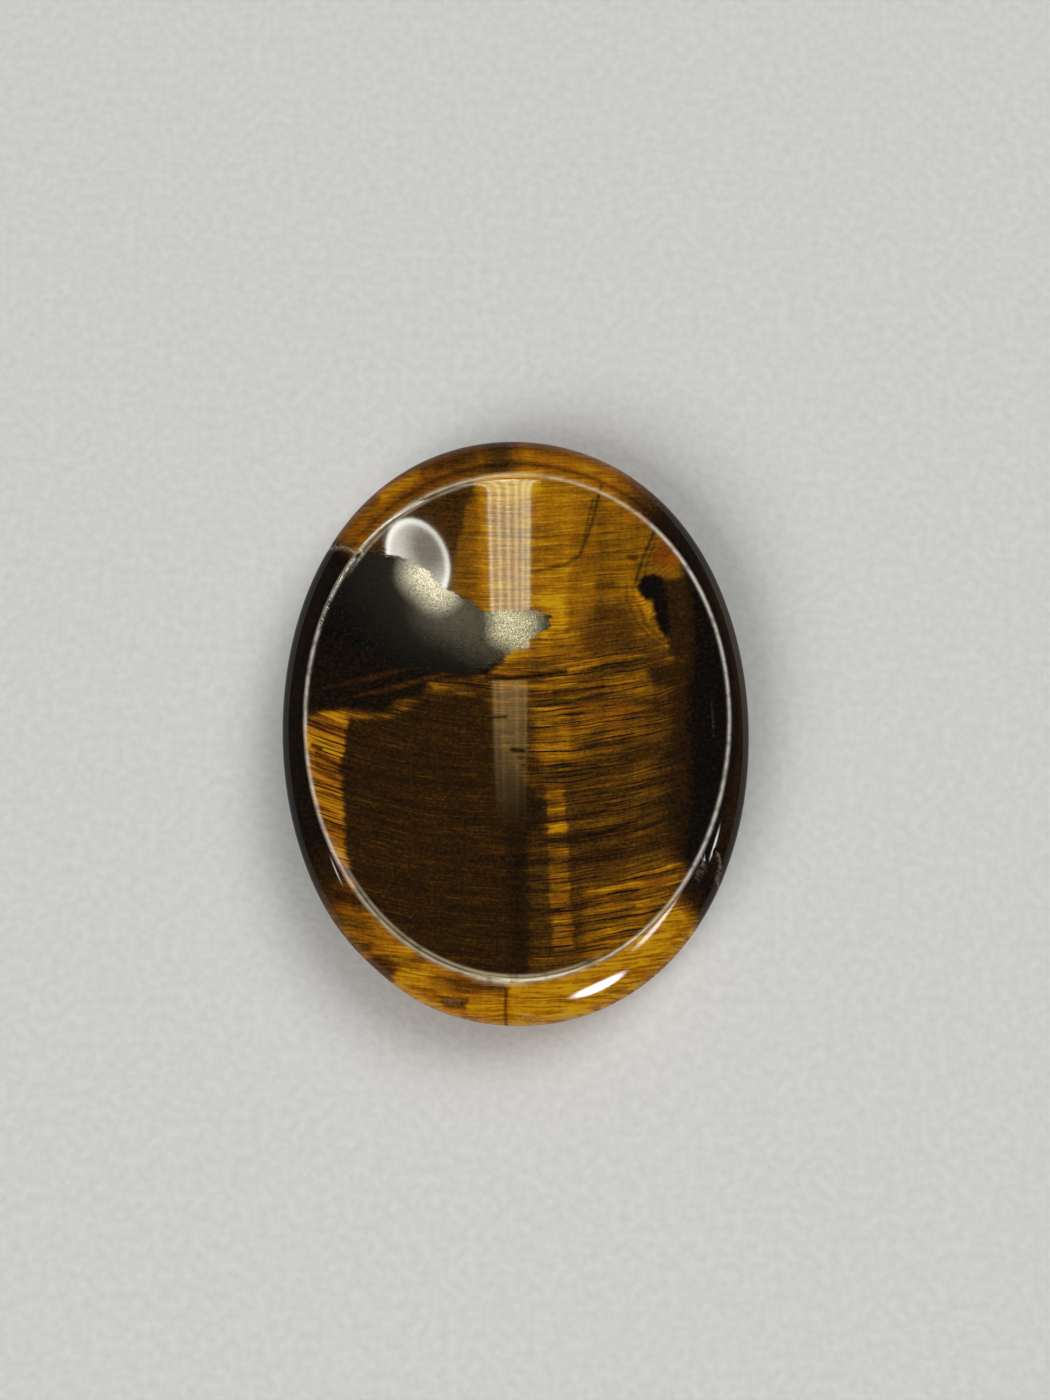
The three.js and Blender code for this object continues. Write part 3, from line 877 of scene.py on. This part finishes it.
def tigers_eye(colours):
    """Tigers eye, tumble polished: silky parallel fibres, gold to brown, under a glassy quartz surface.

    The eye sees colour in fine lines that follow the fibres, sharp reflections on top of it, and a dark,
    grainy metal sheen where the iron oxide comes through."""
    material = bpy.data.materials.new("Polished tigers eye")
    material.use_nodes = True
    tree = material.node_tree
    tree.nodes.clear()
    node = partial(add_node, tree)

    place = node(VECTOR, node("ShaderNodeTexCoord", output=3), inputs={"Scale": 1 / MM}, operation="SCALE")
    x, y, z = node("ShaderNodeSeparateXYZ", place, output=slice(None))
    tone, red, iron, fibre, dark, pale, wear, rim, sheen, polish, gilt = (
        node("ShaderNodeAttribute", attribute_name=name, output=2) for name in MARKS)

    # The flat back has plain straight fibres of one tone
    on_back = node(RANGE, z, *BACK_BY_HEIGHT_MM, interpolation_type="SMOOTHSTEP")
    fibre = node(MIX, on_back, inputs={2: fibre, 3: y})
    tone = node(MIX, on_back, inputs={2: tone, 3: BACK_TONE})

    # Noise drawn out along the fibres, which sway a little
    sway_sizes, sway_detail = SWAY
    sway = node(
        NOISE, node(VECTOR, place, tuple(1 / size for size in sway_sizes), operation="MULTIPLY"),
        inputs={"Scale": 1.0, "Detail": sway_detail})
    swayed = node("MULTIPLY_ADD", sway, SWAY_REACH_MM, fibre)
    along = node("ShaderNodeCombineXYZ", x, swayed, z)
    threads, dashes, streaks, tints, bands, ragged, grain, specks, worn = (
        node(
            NOISE, node(VECTOR, vector, tuple(1 / size for size in sizes), operation="MULTIPLY"),
            inputs={"Scale": 1.0, "Detail": detail, "Roughness": PATTERN_ROUGHNESS})
        for vector, (sizes, detail) in (
            (along, THREADS), (along, DASHES), (along, STREAKS), (along, TINTS), (along, BANDS),
            (along, RAGGED), (place, GRAIN), (place, SPECKS), (place, LIP_GLARE_NOISE)))

    # Tone of each thread: dark dashes and streaks, stronger in the lower half, and soft bands across
    lined = node(RANGE, fibre, *LINES_BY_FIBRE_MM)
    lined = node("MULTIPLY", lined, node(RANGE, rim, *LINES_BY_RIM))
    dash = node("MULTIPLY", node(RANGE, dashes, *DASH_DARKNESS), lined)
    dash = node("MULTIPLY", dash, node(RANGE, tone, *DASH_BY_TONE))
    streaked = node("MULTIPLY", lined, node(RANGE, tone, *STREAK_BY_TONE))
    streak_share = node(MIX, streaked, inputs={2: 1.0, 3: node(RANGE, streaks, *STREAK_LIGHTNESS)})
    thread_share = node("MULTIPLY_ADD", threads, THREAD_CONTRAST, 1.0 - THREAD_CONTRAST / 2)
    thread_share = node(MIX, node(RANGE, fibre, *THREADS_BY_FIBRE_MM), inputs={2: 1.0, 3: thread_share})
    band_share = node("MULTIPLY_ADD", bands, BAND_CONTRAST, 1.0 - BAND_CONTRAST / 2)
    between_dashes = node("SUBTRACT", 1.0, dash)
    off_dark_lines = node("SUBTRACT", 1.0, dark)
    thread_tone = tone
    for share in (thread_share, band_share, streak_share, between_dashes, off_dark_lines):
        thread_tone = node("MULTIPLY", thread_tone, share)
    fleck = node("MULTIPLY", node(RANGE, threads, *FLECK_LIGHTNESS), lined)
    fleck = node("MULTIPLY", fleck, node(RANGE, tone, *FLECK_BY_TONE))
    thread_tone = node("ADD", thread_tone, fleck)
    thread_tone = node("MULTIPLY_ADD", grain, GRAIN_CONTRAST, thread_tone)
    thread_tone = node("SUBTRACT", thread_tone, GRAIN_CONTRAST / 2)

    # Colour of that tone, rustier in places
    fibre_colour = node("ShaderNodeValToRGB", thread_tone)
    ramp = fibre_colour.node.color_ramp
    ramp.elements[0].color = (*colours.black, 1.0)
    ramp.elements[1].color = (*colours.yellow, 1.0)
    for position, colour in (
        (0.2, colours.dark_brown), (0.4, colours.brown), (0.6, colours.old_gold), (0.8, colours.gold)
    ):
        ramp.elements.new(position).color = (*colour, 1.0)
    rust = node(
        MIX, node("MULTIPLY", thread_tone, RUST_BRIGHTNESS),
        inputs={6: (*colours.black, 1.0), 7: (*colours.red, 1.0)}, **OF_COLOURS)
    rusty = node("SUBTRACT", tints, RUST_START)
    rusty = node("MULTIPLY_ADD", rusty, RUST_CONTRAST, red)
    rusty = node("MAXIMUM", rusty, 0.0)
    rusty = node("MULTIPLY", rusty, node(RANGE, tone, *RUST_BY_TONE))
    fibre_colour = node(MIX, rusty, inputs={6: fibre_colour, 7: rust}, **OF_COLOURS)

    # Iron oxide, with an edge that is ragged along the fibres
    torn = node("MULTIPLY_ADD", ragged, RAGGED_REACH_MM, -RAGGED_REACH_MM / 2)
    torn = node("ADD", iron, torn)
    metal = node(RANGE, torn, *IRON_BY_DEPTH_MM, interpolation_type="SMOOTHSTEP")
    # The painted sheen makes the iron's colour light along its lines and near black elsewhere
    speck = node("MULTIPLY", node(RANGE, specks, *IRON_LIGHTNESS), sheen)
    iron_colour = node(
        MIX, speck, inputs={6: (*colours.black, 1.0), 7: (*colours.iron, 1.0)}, **OF_COLOURS)
    colour = node(MIX, metal, inputs={6: fibre_colour, 7: iron_colour}, **OF_COLOURS)

    # Broken stone in the pits and cracks, and the painted highlight along the lip
    broken = node("MULTIPLY", node(RANGE, grain, *BROKEN_BY_GRAIN), pale)
    colour = node(MIX, broken, inputs={6: colour, 7: (*colours.scar, 1.0)}, **OF_COLOURS)
    line = node("MULTIPLY", wear, node(RANGE, worn, *LIP_GLARE_LIGHTNESS))
    line_colour = node(
        MIX, gilt, inputs={6: (*colours.worn, 1.0), 7: (*colours.worn_gold, 1.0)}, **OF_COLOURS)
    colour = node(MIX, line, inputs={6: colour, 7: line_colour}, blend_type="SCREEN", **OF_COLOURS)

    # A silky surface under a clear polish, which the iron and the dark lines don't take
    rough = node(RANGE, specks, *STONE_ROUGHNESS)
    coarse = node("MULTIPLY_ADD", metal, IRON_RELIEF, 1.0)
    relief = node("MULTIPLY_ADD", specks, coarse, threads)
    silk = node(
        "ShaderNodeBump", inputs={"Strength": SILK_STRENGTH, "Distance": SILK_DEPTH, "Height": relief})
    coat = node("MULTIPLY", polish, node(RANGE, metal, *COAT_BY_IRON))
    coat = node("MULTIPLY", coat, node(RANGE, dark, *COAT_BY_DARK_LINE))
    surface = node(
        "ShaderNodeBsdfPrincipled",
        inputs={
            "Base Color": colour, "Metallic": metal, "Roughness": rough, "IOR": QUARTZ_IOR, "Normal": silk,
            "Specular IOR Level": 0.0, "Coat Weight": coat, "Coat Roughness": POLISH_ROUGHNESS,
            "Coat IOR": QUARTZ_IOR,
        })
    node("ShaderNodeOutputMaterial", surface)
    return material


def drawing_paper(colour):
    """Drawing paper, pressed and uncoated: a matt pale sheet with a faint tooth."""
    material = bpy.data.materials.new("Matt drawing paper")
    material.use_nodes = True
    tree = material.node_tree
    tree.nodes.clear()
    node = partial(add_node, tree)
    tooth = node(NOISE, node("ShaderNodeTexCoord", output=3), inputs={"Scale": 1 / PAPER_TOOTH})
    relief = node(
        "ShaderNodeBump",
        inputs={"Strength": PAPER_TOOTH_STRENGTH, "Distance": PAPER_TOOTH_DEPTH, "Height": tooth})
    lighter = node(RANGE, tooth, *PAPER_LIGHTNESS)
    shaded = node(VECTOR, colour, inputs={"Scale": lighter}, operation="SCALE")
    surface = node(
        "ShaderNodeBsdfPrincipled",
        inputs={
            "Base Color": shaded, "Roughness": PAPER_ROUGHNESS, "Specular IOR Level": PAPER_SPECULAR,
            "Normal": relief,
        })
    node("ShaderNodeOutputMaterial", surface)
    return material


class MESH_OT_worry_stone(bpy.types.Operator):
    """Make the stone, with its hollow, its scars and its bands of fibre"""

    bl_idname = "mesh.worry_stone"
    bl_label = "Make Stone"

    def execute(self, context):
        mesh = shape_stone(context.scene.worry_stone_shape, tigers_eye(context.scene.worry_stone_colours))
        paint_stone(mesh)
        stone = bpy.data.objects.new("tigers_eye_stone", mesh)
        context.scene.collection.objects.link(stone)
        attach(stone, "root")
        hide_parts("stone")
        return {"FINISHED"}


def make_floor(look):
    """A sheet of paper under the stone."""
    half = look.floor_size / 2
    mesh = bpy.data.meshes.new("paper floor")
    corners = [(-half, -half, 0), (half, -half, 0), (half, half, 0), (-half, half, 0)]
    mesh.from_pydata(corners, [], [(0, 1, 2, 3)])
    mesh.materials.append(drawing_paper(look.paper))
    floor = bpy.data.objects.new("paper_floor", mesh)
    bpy.context.scene.collection.objects.link(floor)


def make_room(look):
    """A room that is dim straight above and pale towards the horizon."""
    world = bpy.data.worlds.new("Soft room")
    world.use_nodes = True
    tree = world.node_tree
    tree.nodes.clear()
    node = partial(add_node, tree)
    up = node("ShaderNodeSeparateXYZ", node("ShaderNodeTexCoord", output=0), output=2)
    glow = node(RANGE, up, *ROOM_HEIGHTS, look.horizon, look.zenith, interpolation_type="SMOOTHSTEP")
    node("ShaderNodeOutputWorld", node("ShaderNodeBackground", ROOM_TINT, glow))
    bpy.context.scene.world = world


def add_lamp(name, shape, size, place, brightness):
    """A flat lamp that faces down, with a given brightness of its face."""
    light = bpy.data.lights.new(name, "AREA")
    light.shape = shape
    light.size, light.size_y = size
    area = size[0] * size[1] * (math.pi / 4 if shape == "ELLIPSE" else 1.0)
    light.energy = brightness * math.pi * area
    lamp = bpy.data.objects.new(name, light)
    lamp.location = place
    bpy.context.scene.collection.objects.link(lamp)
    return lamp


def fade_lamp(light, spot, distances, shares):
    """Lets a lamp's face change in brightness with the distance from a spot on it."""
    light.use_nodes = True
    tree = light.node_tree
    tree.nodes.clear()
    node = partial(add_node, tree)
    face = node("ShaderNodeNewGeometry", output="Parametric")
    away = node(VECTOR, face, (*spot, 0.0), output="Value", operation="DISTANCE")
    glow = node(RANGE, away, *distances, *shares, interpolation_type="SMOOTHSTEP")
    node("ShaderNodeOutputLight", node("ShaderNodeEmission", inputs={"Strength": glow}))


def make_lights():
    """Soft light from the sides, and the lamps that the polish mirrors."""
    for name, width, length, place, brightness, mirrored in SIDE_LIGHTS:
        lamp = add_lamp(name, "RECTANGLE", (width, length), place, brightness)
        lamp.rotation_euler = Vector(place).to_track_quat("Z", "Y").to_euler()
        lamp.visible_glossy = mirrored
        lamp.visible_diffuse = not mirrored
        if mirrored:
            fade_lamp(lamp.data, *MIRRORED_FADE)
    for across in TUBE_PLACES:
        lamp = add_lamp("tube", "RECTANGLE", TUBE_SIZE, (across, *TUBE_PLACE), TUBE_BRIGHTNESS)
        lamp.data.color = linear(TUBE_COLOUR)
    for name, outline, size, place, brightness, colour, spot, distances, shares in UNEVEN_LAMPS:
        lamp = add_lamp(name, outline, size, place, brightness)
        lamp.data.color = linear(colour)
        fade_lamp(lamp.data, spot, distances, shares)


def make_camera():
    """A camera that looks down on the stone as the photograph does."""
    elevation = math.radians(CAMERA_ELEVATION)
    back = Vector((0.0, -math.cos(elevation), math.sin(elevation)))
    up = Vector((0.0, math.sin(elevation), math.cos(elevation)))
    aside, above = camera_offset()
    aim = (CAD_LOW + CAD_HIGH) / 2 + Vector((aside * MM, 0.0, 0.0)) + up * above * MM
    data = bpy.data.cameras.new("photo camera")
    data.lens = data.sensor_width * CAMERA_DISTANCE * PIXELS_PER_MM / (PHOTO_SIZE[1] * MM)
    data.clip_start = CAMERA_NEAR
    camera = bpy.data.objects.new("photo camera", data)
    camera.location = aim + back * CAMERA_DISTANCE
    camera.rotation_euler = back.to_track_quat("Z", "Y").to_euler()
    bpy.context.scene.collection.objects.link(camera)
    bpy.context.scene.camera = camera


class SCENE_OT_worry_stone_studio(bpy.types.Operator):
    """Make the floor, the light and the camera"""

    bl_idname = "scene.worry_stone_studio"
    bl_label = "Make Studio"

    def execute(self, context):
        look = context.scene.worry_stone_studio
        make_floor(look)
        make_room(look)
        make_lights()
        make_camera()
        context.scene.view_settings.view_transform = "Standard"
        return {"FINISHED"}


class VIEW3D_PT_worry_stone(bpy.types.Panel):
    """Lists the sizes, the colours and the two steps of the making"""

    bl_label = "Worry Stone"
    bl_space_type = "VIEW_3D"
    bl_region_type = "UI"
    bl_category = "Worry Stone"

    def draw(self, context):
        scene = context.scene
        for group in (scene.worry_stone_shape, scene.worry_stone_colours, scene.worry_stone_studio):
            for name in group.__annotations__:
                self.layout.prop(group, name)
        self.layout.operator(MESH_OT_worry_stone.bl_idname)
        self.layout.operator(SCENE_OT_worry_stone_studio.bl_idname)


CLASSES = (
    StoneShape, StoneColours, StudioLook,
    MESH_OT_worry_stone, SCENE_OT_worry_stone_studio, VIEW3D_PT_worry_stone,
)


def register():
    for cls in CLASSES:
        bpy.utils.register_class(cls)
    bpy.types.Scene.worry_stone_shape = PointerProperty(type=StoneShape)
    bpy.types.Scene.worry_stone_colours = PointerProperty(type=StoneColours)
    bpy.types.Scene.worry_stone_studio = PointerProperty(type=StudioLook)


def unregister():
    del bpy.types.Scene.worry_stone_studio
    del bpy.types.Scene.worry_stone_colours
    del bpy.types.Scene.worry_stone_shape
    for cls in reversed(CLASSES):
        bpy.utils.unregister_class(cls)


def main():
    register()
    bpy.ops.mesh.worry_stone()
    bpy.ops.scene.worry_stone_studio()


if __name__ == "__main__":
    main()
